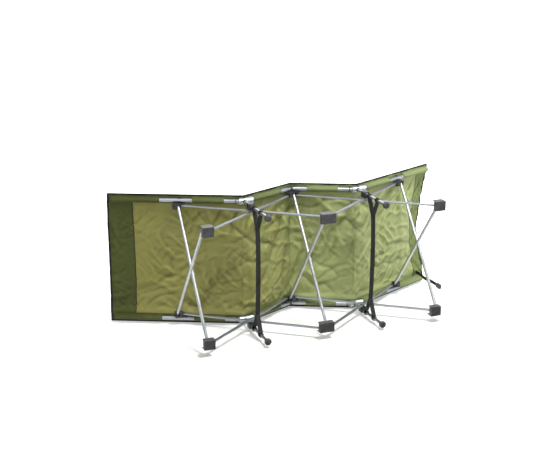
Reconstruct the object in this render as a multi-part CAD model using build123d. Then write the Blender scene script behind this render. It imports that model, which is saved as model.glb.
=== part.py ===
from build123d import *
import math
import os

# Folding camp cot, standing on its six feet, part way between open and folded.
# +X runs along the bed, +Y to its left side, +Z up, with the floor at z = 0.
# Three stations along the bed each hold two hubs above two feet. Everything is in
# millimetres and degrees, and struts, rails and posts are placed by their pivots.

# Linkage
strut_length = 735.0        # pivot to pivot, cross struts and side struts alike
strut_angle = 37.4          # of every strut above the floor in this pose
rail_angle = 25.05          # slope of each rail in this pose
rail_pin_inset = 18.0       # station centre to the pin of a rail
rail_pin_rise = 9.6         # rail pin above the strut pivots of a hub
head_pin_offset = 16.0      # post axis to each rail pin in the post head
left_overhang = 345.0       # bed fabric beyond the first station, along its rail
right_overhang = 273.0      # the same beyond the last station

# Tubes and bars
rail_d = 22.0
rail_wall = 1.5
cross_d = 16.0
cross_wall = 1.2
side_height = 18.0
side_thickness = 8.0
side_wall = 1.4
post_d = 16.0
post_wall = 1.5

# Pins and fits
pin_d = 6.0
rivet_d = 5.0
head_thickness = 1.5
pin_clearance = 0.05        # radial, a pin in its hole
layer_gap = 0.6             # between the two struts of a crossing pair
side_clearance = 0.4        # a strut beside the ear or block that holds it
soft_clearance = 1.6        # loose fabric sleeve round a tube
swing_clearance = 1.5       # a rail beside the hub or head that it turns in

# Plastic parts
foot_wall = 3.0
foot_floor = 15.0
foot_height = 44.0
foot_pivot_clearance = 5.0  # foot floor to the edge of a side strut that lies level
foot_inboard = 30.0
foot_outboard = 22.0
foot_sill = 22.0            # height of the low walls that the side struts pass over
foot_inner_sill = 34.0      # height of the inner wall under the cross strut
hub_drop = 12.0             # hub below the strut pivots, and above them
hub_rise = 20.0
hub_shoulder = 4.0
hub_crown = 14.0            # half the flat top of the plate
hub_end = 10.0              # plate past the pivot of a side strut
hub_plate = 6.7
hub_plate_gap = 2.5         # plate outboard of the side struts
hub_pocket_gap = 2.5        # room for the cross strut to turn under the roof of its pocket
hub_roof_wall = 5.5
hub_block_inboard = 12.0
rail_pin_head_r = 8.0
block_wall = 1.8            # of a hub or foot between a cross strut and a side strut
slider_length = 34.0
slider_width = 30.0
cap_length = 12.0           # bare fabric past the end of an overhanging rail
post_foot_d = 36.0
post_foot_height = 22.0
post_foot_gap = 3.0         # post foot above the floor in this pose
ring_thickness = 2.5
ring_height = 9.0
upper_ring_drop = 150.0     # below the rail pins of the head
lower_ring_drop = 240.0

# Post head
head_wall = 3.0
head_left = 30.0
head_right = 46.0
head_flare = 5.0
head_cheek = 7.0
head_seat = 1.2             # flared trough above the top of the post tube
rail_ring = 27.0            # head pin to the far face of the ring on a pinned rail

# Fabric and webbing
fabric = 1.0
sleeve_wall = 1.2
hem_width = 25.0            # fabric outboard of the rail axis
panel_edge = 17.0           # rail axis to the seam of the centre panel
sleeve_start = 66.0         # along a rail from its hub pin
sleeve_end = 230.0          # of a rail with a pin and a ring at its head end
open_sleeve_end = 268.0     # of a rail whose head end lies loose in its trough
left_sleeve_end = 102.0     # bare rail beyond the hub pin on the left overhang
right_sleeve_end = 60.0
seam_gap = 0.4
webbing_width = 25.0
webbing = 1.6
junction_inset = 85.0       # post axis to the point where the two legs of a strap join
strap_width = 20.0
strap_thickness = 2.0
strap_inset = 60.0          # end of the right overhang to the storage strap
buckle_size = (44.0, 26.0, 11.0)

# Positions worked out from the sizes above
theta = math.radians(strut_angle)
phi = math.radians(rail_angle)
rail_r = rail_d / 2
cross_x = (cross_d + 2 * side_clearance) / 2
layer = (side_thickness + layer_gap) / 2
block_half = 2 * cross_x + block_wall
side_pivot_inset = block_half + side_clearance + side_height / 2
rail_offset = (layer + side_thickness / 2 + hub_plate_gap + hub_plate + swing_clearance + rail_r)
hub_pocket = cross_d / 2 + hub_pocket_gap
hub_roof = hub_pocket + hub_roof_wall
foot_pivot_height = foot_floor + side_height / 2 + foot_pivot_clearance
span = strut_length * math.cos(theta)
rise = strut_length * math.sin(theta)
pitch = span + 2 * side_pivot_inset
origin_x = (left_overhang - right_overhang) / 2 * math.cos(phi)
station_x = {1: origin_x - pitch, 2: origin_x, 3: origin_x + pitch}
bay_x = {1: origin_x - pitch / 2, 2: origin_x + pitch / 2}
strut_y = span / 2
rail_y = strut_y + rail_offset
low_z = foot_pivot_height
high_z = low_z + rise
cross_z = low_z + rise / 2
rail_pin_z = high_z + rail_pin_rise
rail_reach = (pitch / 2 - rail_pin_inset - head_pin_offset) / math.cos(phi)
head_z = rail_pin_z - rail_reach * math.sin(phi)
sheet_rise = rail_r + soft_clearance + sleeve_wall + fabric / 2
SIDES = {"left": 1, "right": -1}
TOWARDS = {1: (1,), 2: (-1, 1), 3: (-1,)}
# each rail: the station whose hub holds it, the way it runs, and whether a pin holds its far end
RAILS = {1: (1, 1, True), 2: (2, -1, False), 3: (2, 1, True), 4: (3, -1, False)}
rail_end_past_pin = 5.0
rail_end_short = 6.0
rail_stub = 9.0


def rod(p, q, radius):
    """A solid round bar from p to q."""
    run = Vector(*q) - Vector(*p)
    bar = Cylinder(radius, run.length, align=(Align.CENTER, Align.CENTER, Align.MIN))
    return Plane(origin=p, z_dir=run).location * bar


def pipe(p, q, radius, bore):
    """A round tube from p to q, with its bore cut right through."""
    run = (Vector(*q) - Vector(*p)).normalized()
    start, stop = Vector(*p) - run, Vector(*q) + run
    return rod(p, q, radius) - rod(tuple(start), tuple(stop), bore)


def prism(points, y1, y2):
    """An outline in X and Z, carried along Y from y1 to y2."""
    low, high = min(y1, y2), max(y1, y2)
    face = make_face(Polyline(*[(x, 0, z) for x, z in points], close=True))
    return Pos(0, low, 0) * extrude(face, amount=high - low, dir=(0, 1, 0))


def block(x1, x2, y1, y2, z1, z2):
    """A box between two corners, given in any order."""
    size = (abs(x2 - x1), abs(y2 - y1), abs(z2 - z1))
    return Pos((x1 + x2) / 2, (y1 + y2) / 2, (z1 + z2) / 2) * Box(*size)


def y_pin(x, z, y1, y2, radius):
    return rod((x, y1, z), (x, y2, z), radius)


def x_pin(y, z, x1, x2, radius):
    return rod((x1, y, z), (x2, y, z), radius)


def write(name, *solids):
    """One STEP file for a node: one solid, or several that belong together."""
    whole = solids[0] if len(solids) == 1 else Compound(children=list(solids))
    export_step(whole, f"parts/{name}.step")


# Struts


def cross_strut(station, sign):
    """A round tube from the foot on one side to the hub on the other side of a station."""
    x = station_x[station] + sign * cross_x
    foot = (x, sign * strut_y, low_z)
    hub = (x, -sign * strut_y, high_z)
    way = (Vector(*hub) - Vector(*foot)).normalized()
    past = pin_d
    tube = pipe(tuple(Vector(*foot) - way * past), tuple(Vector(*hub) + way * past),
                cross_d / 2, cross_d / 2 - cross_wall)
    hole = pin_d / 2 + pin_clearance
    for y, z in ((foot[1], foot[2]), (hub[1], hub[2])):
        tube -= x_pin(y, z, x - cross_d, x + cross_d, hole)
    return tube - x_pin(0, cross_z, x - cross_d, x + cross_d, rivet_d / 2 + pin_clearance)


def cross_rivet(station):
    """The rivet through the two cross struts where they cross, with a head at each end."""
    reach = cross_x + cross_d / 2 + pin_clearance
    x = station_x[station]
    pin = x_pin(0, cross_z, x - reach, x + reach, rivet_d / 2)
    for way in (-1, 1):
        pin += x_pin(0, cross_z, x + way * reach, x + way * (reach + head_thickness), rivet_d)
    return pin


def strut_layer(upper_at_outer_station):
    """How far outboard of the strut plane a side strut lies: the two of a pair lie side by side."""
    return layer if upper_at_outer_station else -layer


def side_strut(side, low, high):
    """A flat oval bar with rounded ends from a foot at one station to a hub at the next."""
    way = 1 if station_x[high] > station_x[low] else -1
    y = side * (strut_y + strut_layer(low == 2))
    start = (station_x[low] + way * side_pivot_inset, y, low_z)
    bar = Rot(90, 0, 0) * extrude(SlotCenterToCenter(strut_length, side_height), side_thickness / 2,
                                  both=True)
    rims = bar.edges().filter_by(GeomType.LINE).filter_by(Axis.X)
    bar = fillet(rims, side_thickness / 2 - 0.4)
    bar -= Box(strut_length + pin_d, side_thickness - 2 * side_wall, side_height - 2 * side_wall)
    hole = pin_d / 2 + pin_clearance
    for x in (-strut_length / 2, strut_length / 2):
        bar -= y_pin(x, 0, -side_thickness, side_thickness, hole)
    bar -= y_pin(0, 0, -side_thickness, side_thickness, rivet_d / 2 + pin_clearance)
    frame = Plane(origin=start, x_dir=(way * math.cos(theta), 0, math.sin(theta)),
                  z_dir=(-way * math.sin(theta), 0, math.cos(theta)))
    return frame.location * Pos(strut_length / 2, 0, 0) * bar


def side_rivet(side, bay):
    """The rivet through the two side struts of a bay, with a head at each end."""
    inner = strut_y - layer - side_thickness / 2 - pin_clearance
    outer = strut_y + layer + side_thickness / 2 + pin_clearance
    pin = y_pin(bay_x[bay], cross_z, side * inner, side * outer, rivet_d / 2)
    pin += y_pin(bay_x[bay], cross_z, side * (inner - head_thickness), side * inner, rivet_d)
    return pin + y_pin(bay_x[bay], cross_z, side * outer, side * (outer + head_thickness), rivet_d)


# Feet and hubs


def foot(side, station):
    """An open plastic box whose pins hold one cross strut and one or two side struts."""
    x = station_x[station]
    reach = side_pivot_inset + side_height / 2 + foot_wall
    left = reach if -1 in TOWARDS[station] else block_half
    right = reach if 1 in TOWARDS[station] else block_half
    inner, outer = side * (strut_y - foot_inboard), side * (strut_y + foot_outboard)
    box = block(x - left, x + right, inner, outer, 0, foot_height)
    box = fillet(box.edges().filter_by(Axis.Z), foot_wall)
    box = chamfer(box.faces().sort_by(Axis.Z)[0].edges(), 1.5)
    y1, y2 = inner + side * foot_wall, outer - side * foot_wall
    box -= block(x - left + foot_wall, x + right - foot_wall, y1, y2, foot_floor, foot_height + 1)
    box -= block(x - left - 1, x + right + 1, y1, y2, foot_sill, foot_height + 1)
    box -= block(x - left - 1, x + right + 1, inner - side, y1, foot_inner_sill, foot_height + 1)
    lane = x + side * cross_x
    half = cross_d / 2 + side_clearance / 2
    ear = side_height / 2
    for a, b in ((lane + side * half, x + side * block_half), (lane - side * half, x - side * foot_wall)):
        box += block(a, b, side * (strut_y - ear), side * (strut_y + ear), foot_floor - 1,
                     low_z + ear)
    box += x_pin(side * strut_y, low_z, x - side * foot_wall, x + side * block_half, pin_d / 2)
    for way in TOWARDS[station]:
        box += y_pin(x + way * side_pivot_inset, low_z, inner + side, outer - side, pin_d / 2)
    return box


def hub(side, station):
    """The plastic bracket on top of a station: a plate between struts and rails, a block that
    holds the cross strut, and the pins that the side struts and rails turn on."""
    x = station_x[station]
    plate_in = strut_y + layer + side_thickness / 2 + hub_plate_gap
    plate_out = rail_y - rail_r - swing_clearance
    reach = side_pivot_inset + hub_end
    left = reach if -1 in TOWARDS[station] else block_half + 2
    right = reach if 1 in TOWARDS[station] else block_half + 2
    outline = [(x - left, high_z - hub_drop), (x + right, high_z - hub_drop),
               (x + right, high_z + hub_shoulder), (x + hub_crown, high_z + hub_rise),
               (x - hub_crown, high_z + hub_rise), (x - left, high_z + hub_shoulder)]
    body = prism(outline, side * plate_in, side * plate_out)
    inboard = strut_y - hub_block_inboard
    body += block(x - block_half, x + block_half, side * inboard, side * (plate_in + 1),
                  high_z - hub_drop, high_z + hub_roof)
    lane = x - side * cross_x
    half = cross_d / 2 + side_clearance / 2
    body -= block(lane - half, lane + half, side * (inboard - 1), side * plate_in,
                  high_z - hub_drop - 1, high_z + hub_pocket)
    body += x_pin(side * strut_y, high_z, lane - half - 1, lane + half + 1, pin_d / 2)
    for way in TOWARDS[station]:
        depth = strut_layer(station != 2)
        px = x + way * side_pivot_inset
        face_out = strut_y + depth + side_thickness / 2 + side_clearance / 2
        face_in = strut_y + depth - side_thickness / 2 - side_clearance / 2
        body += y_pin(px, high_z, side * face_in, side * plate_out, pin_d / 2)
        body += y_pin(px, high_z, side * (face_in - head_thickness), side * face_in, pin_d)
        body += y_pin(px, high_z, side * face_out, side * (plate_in + 1), side_height / 2 - 2)
        rx = x + way * rail_pin_inset
        far = rail_y + rail_r + side_clearance
        body += y_pin(rx, rail_pin_z, side * plate_in, side * far, pin_d / 2)
        body += y_pin(rx, rail_pin_z, side * far, side * (far + 2 * head_thickness),
                      rail_pin_head_r)
    return body


# Rails


def rail_point(side, number, s, up=0.0):
    """A point s along a rail from its hub pin, up above its axis, at right angles to it."""
    station, way, _ = RAILS[number]
    x = station_x[station] + way * (rail_pin_inset + s * math.cos(phi) + up * math.sin(phi))
    return (x, side * rail_y, rail_pin_z - s * math.sin(phi) + up * math.cos(phi))


def rail_start(number):
    """Where the fabric of a rail starts along it: the vertex over its station, or its overhang."""
    vertex = -rail_pin_inset / math.cos(phi)
    return vertex - {1: left_overhang, 4: right_overhang}.get(number, 0)


def rail_tube(side, number):
    """A round tube, pinned to its hub and, at some rails, to the head of a post."""
    station, way, pinned = RAILS[number]
    start = rail_start(number) + cap_length if number in (1, 4) else -rail_stub
    end = rail_reach + rail_end_past_pin if pinned else rail_reach - rail_end_short
    tube = pipe(rail_point(side, number, start), rail_point(side, number, end), rail_r,
                rail_r - rail_wall)
    hole = pin_d / 2 + pin_clearance
    y1, y2 = side * (rail_y - rail_d), side * (rail_y + rail_d)
    for s in (0, rail_reach) if pinned else (0,):
        px, _, pz = rail_point(side, number, s)
        tube -= y_pin(px, pz, y1, y2, hole)
    return tube


def rail_fittings(side, number):
    """The ring near the head end of a pinned rail, and the plug in an overhanging end."""
    fittings = []
    bore = rail_r + pin_clearance
    outer = rail_r + ring_thickness
    if RAILS[number][2]:
        ring = [rail_point(side, number, rail_reach - s) for s in (rail_ring, rail_ring - 5)]
        fittings.append(pipe(*ring, outer, bore))
    if number in (1, 4):
        start = rail_start(number) + cap_length
        plug = rod(rail_point(side, number, start - 4), rail_point(side, number, start), rail_r)
        plug += rod(rail_point(side, number, start - 1), rail_point(side, number, start + 15),
                    rail_r - rail_wall - pin_clearance)
        fittings.append(plug)
    return fittings


# Posts


def post_head(side, bay):
    """The metal head of a post: a trough with a flared end, in which two rails turn."""
    x, y, z = bay_x[bay], side * rail_y, head_z
    bore = rail_r + swing_clearance
    outer = bore + head_wall
    trough = rod((x - head_left, y, z), (x + 4, y, z), outer)
    flare = Cone(outer, outer + head_flare, head_right - 4, align=(Align.CENTER, Align.CENTER, Align.MIN))
    trough += Pos(x + 4, y, z) * Rot(0, 90, 0) * flare
    inner = rod((x - head_left - 1, y, z), (x + 4, y, z), bore)
    hollow = Cone(bore, bore + head_flare, head_right - 3, align=(Align.CENTER, Align.CENTER, Align.MIN))
    inner += Pos(x + 4, y, z) * Rot(0, 90, 0) * hollow
    trough -= inner
    trough -= block(x - head_left - 1, x + head_right + 1, y - 40, y + 40, z, z + 40)
    for a, b in ((-head_left, 0), (8, 24)):
        for face in (-1, 1):
            trough += block(x + a, x + b, y + face * bore, y + face * outer, z - 3, z + head_cheek)
    px = x - head_pin_offset
    trough += y_pin(px, z, y - outer, y + outer, pin_d / 2)
    for pin_x in (px, x + head_pin_offset):
        for face in (-1, 1):
            trough += y_pin(pin_x, z + 1, y + face * (outer - 1), y + face * (outer + head_thickness), 5)
    spigot = post_d / 2 - post_wall - pin_clearance
    return trough + rod((x, y, z - outer - 8), (x, y, z - bore - 1), spigot)


def post(side, bay):
    """The post tube with its rings and rounded foot."""
    x, y = bay_x[bay], side * rail_y
    top = head_z - rail_r - swing_clearance - head_wall - head_seat
    base = post_foot_gap + post_foot_height
    tube = pipe((x, y, base - 8), (x, y, top), post_d / 2, post_d / 2 - post_wall)
    pieces = [tube]
    for z in (top - 3.0, head_z - upper_ring_drop, head_z - lower_ring_drop):
        height = min(ring_height, 2 * (top - z))
        pieces.append(pipe((x, y, z - height / 2), (x, y, z + height / 2),
                           post_d / 2 + ring_thickness, post_d / 2 + pin_clearance))
    sole = rod((x, y, post_foot_gap), (x, y, base), post_foot_d / 2)
    sole = fillet(sole.edges().filter_by(GeomType.CIRCLE), 8)
    sole -= rod((x, y, base - 8 - pin_clearance), (x, y, base + 1), post_d / 2 + pin_clearance)
    return [*pieces, sole]


def slider(side, bay):
    """The block that slides on a post and carries the crossing of the side struts."""
    x, y = bay_x[bay], side * rail_y
    inner = strut_y + layer + side_thickness / 2 + head_thickness + side_clearance
    body = block(x - slider_width / 2, x + slider_width / 2, side * inner, y + side * 13,
                 cross_z - slider_length / 2, cross_z + slider_length / 2)
    body = fillet(body.edges().filter_by(Axis.Z), 4)
    return body - rod((x, y, cross_z - slider_length), (x, y, cross_z + slider_length),
                      post_d / 2 + pin_clearance)


# Fabric


def sheet(number, y1, y2):
    """The flat stretch of bed fabric over one rail, cut upright over stations and posts."""
    station, way, _ = RAILS[number]
    x1 = station_x[station]
    x2 = x1 + way * pitch / 2
    if number in (1, 4):
        x1 -= way * (left_overhang if number == 1 else right_overhang) * math.cos(phi)
    else:
        x1 += way * seam_gap
    x2 -= way * seam_gap
    px, _, pz = rail_point(1, number, 0, sheet_rise)
    half = fabric / 2 / math.cos(phi)
    ends = [(x, pz - (x - px) * way * math.tan(phi)) for x in (x1, x2)]
    points = [(x, z - half) for x, z in ends] + [(x, z + half) for x, z in reversed(ends)]
    return prism(points, y1, y2)


def sleeves(side, number):
    """The stretches of fabric tube that a rail runs through."""
    spans = [(sleeve_start, sleeve_end if RAILS[number][2] else open_sleeve_end)]
    if number == 1:
        spans.append((rail_start(1) + cap_length, -left_sleeve_end))
    if number == 4:
        spans.append((rail_start(4) + cap_length, -right_sleeve_end))
    bore = rail_r + soft_clearance
    return [pipe(rail_point(side, number, a), rail_point(side, number, b), bore + sleeve_wall + 0.2, bore)
            for a, b in spans]


def bed_panel(number):
    """The bed fabric over a left rail, as far as the seam beside the right rail."""
    body = sheet(number, -(rail_y - panel_edge), rail_y + hem_width)
    for tube in sleeves(1, number):
        body += tube
    return body


def right_hem(number):
    """The strip of fabric over a right rail, outboard of the seam, with its sleeves."""
    body = sheet(number, -(rail_y - panel_edge + seam_gap), -(rail_y + hem_width))
    for tube in sleeves(-1, number):
        body += tube
    return body


# Webbing


def ribbon(x, width, p, q):
    """A flat band from p to q, both (y, z), with its width along X."""
    run = math.dist(p, q)
    turn = math.degrees(math.atan2(q[1] - p[1], q[0] - p[0]))
    middle = ((p[0] + q[0]) / 2, (p[1] + q[1]) / 2)
    return Pos(x, *middle) * Rot(turn, 0, 0) * Box(width, run, webbing)


def spreader_strap(bay):
    """A webbing strap across the cot whose ends fork to the two rings of each post."""
    x = bay_x[bay]
    upper, lower = head_z - upper_ring_drop, head_z - lower_ring_drop
    join_z = (upper + lower) / 2
    join_y = rail_y - junction_inset
    end_y = rail_y - post_d / 2 - ring_thickness - side_clearance
    band = block(x - webbing_width / 2, x + webbing_width / 2, -join_y - 2, join_y + 2,
                 join_z - webbing / 2, join_z + webbing / 2)
    for side in SIDES.values():
        for z in (upper, lower):
            leg_z = z + (webbing if z < join_z else -webbing)
            band += ribbon(x, webbing_width, (side * join_y, join_z), (side * end_y, leg_z))
    return band


storage_x, _, storage_z = rail_point(1, 4, rail_start(4) + strap_inset)
storage_y = rail_y - panel_edge - strap_width
storage_top = (storage_z + (sheet_rise - fabric / 2) / math.cos(phi)
               - strap_thickness / 2 * math.tan(phi) - seam_gap)
# corners of the storage strap below the point where it is sewn on, as (x, z) steps
STRAP_ROUTE = [(0, 0), (4, -58), (-10, -118), (6, -180), (2, -236)]


def storage_strap():
    """The loose webbing strap that ties the folded cot, hanging from the right end."""
    points = [(storage_x + x, storage_y, storage_top + z) for x, z in STRAP_ROUTE]
    radii = []
    for a, b, c in zip(STRAP_ROUTE, STRAP_ROUTE[1:], STRAP_ROUTE[2:]):
        first, second = math.dist(a, b), math.dist(b, c)
        turn = abs(math.atan2(c[1] - b[1], c[0] - b[0]) - math.atan2(b[1] - a[1], b[0] - a[0]))
        radii.append(0.45 * min(first, second) / math.tan(turn / 2))
    print("storage strap arcs", [round(r) for r in radii])
    path = FilletPolyline(*points, radius=radii)
    section = Plane(origin=path @ 0, z_dir=path % 0, x_dir=(0, 1, 0)) * Rectangle(
        strap_width, strap_thickness)
    return sweep(section, path=path)


def buckle():
    """The side-release buckle on the end of the storage strap."""
    x = storage_x + STRAP_ROUTE[-1][0]
    top = storage_top + STRAP_ROUTE[-1][1] - side_clearance
    height, width, depth = buckle_size
    body = block(x - depth / 2, x + depth / 2, storage_y - width / 2, storage_y + width / 2,
                 top - height, top)
    return fillet(body.edges().filter_by(Axis.X), 5)


os.makedirs("parts", exist_ok=True)

for station in station_x:
    write(f"cross_strut_{station}_a", cross_strut(station, 1), cross_rivet(station))
    write(f"cross_strut_{station}_b", cross_strut(station, -1))

for name, side in SIDES.items():
    for station in station_x:
        write(f"foot_{name}_{station}", foot(side, station))
        write(f"hub_{name}_{station}", hub(side, station))
    for bay, outer in ((1, 1), (2, 3)):
        write(f"side_strut_{name}_{bay}_a", side_strut(side, 2, outer), side_rivet(side, bay))
        write(f"side_strut_{name}_{bay}_b", side_strut(side, outer, 2))
        write(f"post_head_{name}_{bay}", post_head(side, bay))
        write(f"post_{name}_{bay}", *post(side, bay))
        write(f"slider_{name}_{bay}", slider(side, bay))
    for number in RAILS:
        write(f"rail_{name}_{number}", rail_tube(side, number), *rail_fittings(side, number))

for number in RAILS:
    write(f"bed_panel_{number}", bed_panel(number))
    write(f"right_hem_{number}", right_hem(number))

for bay in bay_x:
    write(f"spreader_strap_{bay}", spreader_strap(bay))

write("storage_strap", storage_strap())
write("buckle", buckle())
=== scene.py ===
# %% [markdown]
# # A folding camp cot
# The metal frame comes in as fixed parts whose shape is already right. This
# lesson gives each of them a finish, and makes the soft things: the slack bed
# fabric, its hems and rail sleeves, the webbing and the loose strap. Lengths are
# in metres. +X runs along the bed, +Y to its left side and +Z up off its feet.

# %% Load the frame
import math

import bpy
import numpy as np
from mathutils import Matrix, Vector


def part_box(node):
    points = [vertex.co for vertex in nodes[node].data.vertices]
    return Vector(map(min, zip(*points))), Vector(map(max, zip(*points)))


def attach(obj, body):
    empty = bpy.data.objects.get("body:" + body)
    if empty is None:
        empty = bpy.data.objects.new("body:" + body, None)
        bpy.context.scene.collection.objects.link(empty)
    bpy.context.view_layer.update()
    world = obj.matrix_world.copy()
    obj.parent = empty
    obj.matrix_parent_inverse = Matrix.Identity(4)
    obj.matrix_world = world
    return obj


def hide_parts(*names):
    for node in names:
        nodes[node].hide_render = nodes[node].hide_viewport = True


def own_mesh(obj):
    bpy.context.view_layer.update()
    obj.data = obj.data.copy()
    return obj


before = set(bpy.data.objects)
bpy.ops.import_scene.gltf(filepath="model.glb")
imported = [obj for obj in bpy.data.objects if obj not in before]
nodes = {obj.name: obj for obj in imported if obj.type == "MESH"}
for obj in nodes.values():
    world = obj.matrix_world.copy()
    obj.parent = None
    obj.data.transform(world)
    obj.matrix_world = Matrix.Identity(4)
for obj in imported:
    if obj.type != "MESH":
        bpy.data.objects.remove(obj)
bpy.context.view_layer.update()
print("parts in the frame:", len(nodes))

# %% [markdown]
# ## Where things are
# The cloth hangs from the rails, so its lines come from the boxes of the parts
# that hold it: the stations where the cross struts stand, the posts between
# them, and the rails. The bed goes up and down in a zigzag, with a peak over
# the middle pair of hubs and a valley over each pair of posts.

# %% The lines of the frame


def middle(node, axis):
    low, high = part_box(node)
    return (low[axis] + high[axis]) / 2


station = {k: middle(f"cross_strut_{k}_a", 0) for k in (1, 2, 3)}
bay = {k: middle(f"post_left_{k}", 0) for k in (1, 2)}
rail_y = middle("post_left_1", 1)
slope = math.radians(25.05)
sheet_rise = 0.0143  # middle of the cloth above the axis of a rail, square to it
seam_y = rail_y - 0.017  # where the centre cloth is sewn to the side strips
edge_y = rail_y + 0.025  # outer edge of a side strip
half_cloth = 0.0005
peak_gap = 0.0004  # between two flat panels where they meet over the middle hubs
peak_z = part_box("bed_panel_2")[1].z - half_cloth / math.cos(slope) + peak_gap * math.tan(slope)
left_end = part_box("bed_panel_1")[0].x
right_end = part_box("bed_panel_4")[1].x
spans = {1: (left_end, bay[1]), 2: (bay[1], station[2]), 3: (station[2], bay[2]), 4: (bay[2], right_end)}
home = {1: station[1], 2: station[2], 3: station[2], 4: station[3]}
way = {1: 1, 2: -1, 3: 1, 4: -1}  # which way along X each rail falls, to its valley
lap = 0.0165  # each stretch of cloth runs this far past its valley, over its neighbour
lap_lift = 0.0016  # and lies this far above it
lap_columns = 2  # which is this many columns of the cloth grid


def cloth_z(x, number):
    """Height of the flat cloth over a rail: it falls from its station at the rail's slope."""
    return peak_z - (x - home[number]) * way[number] * math.tan(slope)


def lapped_z(x, number):
    """Height of the flat cloth over a rail, and of its lap, which follows the next rail up."""
    toward = way[number]
    valley = spans[number][1 if toward > 0 else 0]
    past = (np.asarray(x, float) - valley) * toward > 1e-6
    return np.where(past, cloth_z(x, number + toward) + lap_lift, cloth_z(x, number))


print("cloth from", round(left_end, 3), "to", round(right_end, 3), "and peaks at", round(peak_z, 3))

# %% [markdown]
# ## The camera
# The cot lies on its left side with its underside towards us, so the camera
# stands below the bed and looks along and up at it, and its own up direction is
# the cot's right side. A long lens keeps the far feet nearly as large as the near
# ones.

# %% Camera
camera_data = bpy.data.cameras.new("camera")
camera_data.lens = 76.0
camera_data.sensor_width = 36.0
camera_data.clip_end = 60
camera = bpy.data.objects.new("camera", camera_data)
bpy.context.scene.collection.objects.link(camera)
right = np.array((0.92755, -0.00248, -0.37370))
forward = np.array((0.35863, 0.28708, 0.88824))
forward /= np.linalg.norm(forward)
right -= forward * (right @ forward)
right /= np.linalg.norm(right)
up = np.cross(right, forward)
turn = np.eye(4)
turn[:3, 0], turn[:3, 1], turn[:3, 2] = right, up, -forward
turn[:3, 3] = (-2.276, -1.905, -5.001)
camera.matrix_world = Matrix(turn.tolist())
bpy.context.scene.camera = camera
print("camera stands", round(float(np.linalg.norm(turn[:3, 3])), 2), "m away")

# %% [markdown]
# ## Shader sums
# A finish is easier to read as a formula than as a web of nodes. The class below
# wraps one socket, so that an expression such as 1 - mask * 0.5 adds the Math
# nodes itself.

# %% Sums of sockets


class Value:
    """One output socket of a shader tree, with + - * and / as Math nodes."""

    def __init__(self, tree, socket):
        self.tree, self.socket = tree, socket

    def sum(self, operation, first, second):
        node = self.tree.nodes.new("ShaderNodeMath")
        node.operation = operation
        for place, value in enumerate((first, second)):
            if isinstance(value, Value):
                self.tree.links.new(value.socket, node.inputs[place])
            else:
                node.inputs[place].default_value = value
        return Value(self.tree, node.outputs[0])

    def __add__(self, other):
        return self.sum("ADD", self, other)

    def __radd__(self, other):
        return self.sum("ADD", other, self)

    def __sub__(self, other):
        return self.sum("SUBTRACT", self, other)

    def __rsub__(self, other):
        return self.sum("SUBTRACT", other, self)

    def __mul__(self, other):
        return self.sum("MULTIPLY", self, other)

    def __rmul__(self, other):
        return self.sum("MULTIPLY", other, self)

    def __truediv__(self, other):
        return self.sum("DIVIDE", self, other)


print("sockets can now be added and multiplied")

# %% [markdown]
# ## A finish and its nodes
# Every material here is one Principled shader and the few nodes that feed it. This
# class keeps them together. It makes any node that isn't a sum with one method, so
# a finish reads as a list of what changes over its surface.

# %% A small language for finishes


class Finish:
    """A material with one Principled shader, and the means to add nodes to it."""

    def __init__(self, name, **constants):
        self.material = bpy.data.materials.new(name)
        self.material.use_nodes = True
        self.tree = self.material.node_tree
        self.shader = self.tree.nodes["Principled BSDF"]
        for socket, value in constants.items():
            self.shader.inputs[socket.replace("_", " ")].default_value = value

    def add(self, kind, settings=None, sockets=None, out=0):
        """A node of that kind: its settings first, then its sockets, as values or links."""
        node = self.tree.nodes.new("ShaderNode" + kind)
        for key, value in (settings or {}).items():
            if key == "stops":
                ramp = node.color_ramp
                while len(ramp.elements) < len(value):
                    ramp.elements.new(0.5)
                for element, (place, colour) in zip(ramp.elements, value):
                    element.position, element.color = place, (*colour, 1)
            else:
                setattr(node, key, value)
        for key, value in (sockets or {}).items():
            if isinstance(value, Value):
                self.tree.links.new(value.socket, node.inputs[key])
            else:
                node.inputs[key].default_value = value
        return Value(self.tree, node.outputs[out])

    def feed(self, socket, value):
        self.tree.links.new(value.socket, self.shader.inputs[socket])

    def place(self):
        return self.add("TexCoord", out="Object")

    def noise(self, scale, detail=3.0, vector=None, roughness=0.5):
        return self.add("TexNoise", None, {"Vector": vector or self.place(), "Scale": scale,
                                           "Detail": detail, "Roughness": roughness})

    def ramp(self, value, *stops):
        return self.add("ValToRGB", {"stops": stops}, {"Fac": value})

    def bump(self, height, strength, distance):
        self.feed("Normal", self.add("Bump", None, {"Height": height, "Strength": strength,
                                                    "Distance": distance}))


print("finishes can now be written as formulas")

# %% [markdown]
# ## Metal
# The struts and rails are drawn aluminium tube. Drawing leaves fine streaks, and
# handling leaves faint smudges, so the streaks go into a stretched noise that
# moves both the roughness and the bump. The flat side bars are anodised and
# duller than the bright cross struts.

# %% Aluminium finishes


def metal(name, tint, rough, streak):
    """Aluminium: roughness = base + streaks + smudges, colour a little darker in the smudges."""
    finish = Finish(name, Metallic=1.0)
    drawn = finish.add("Mapping", None, {"Vector": finish.place(), "Scale": streak})
    lines = finish.noise(60.0, 4.0, drawn)
    smudge = finish.noise(9.0, 5.0)
    finish.feed("Roughness", rough + lines * 0.16 + smudge * 0.14)
    dark = tuple(0.72 * c for c in tint)
    finish.feed("Base Color", finish.ramp(lines * 0.45 + smudge * 0.55, (0.25, dark), (0.62, tint)))
    finish.bump(lines, 0.12, 0.0004)
    return finish.material


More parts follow.
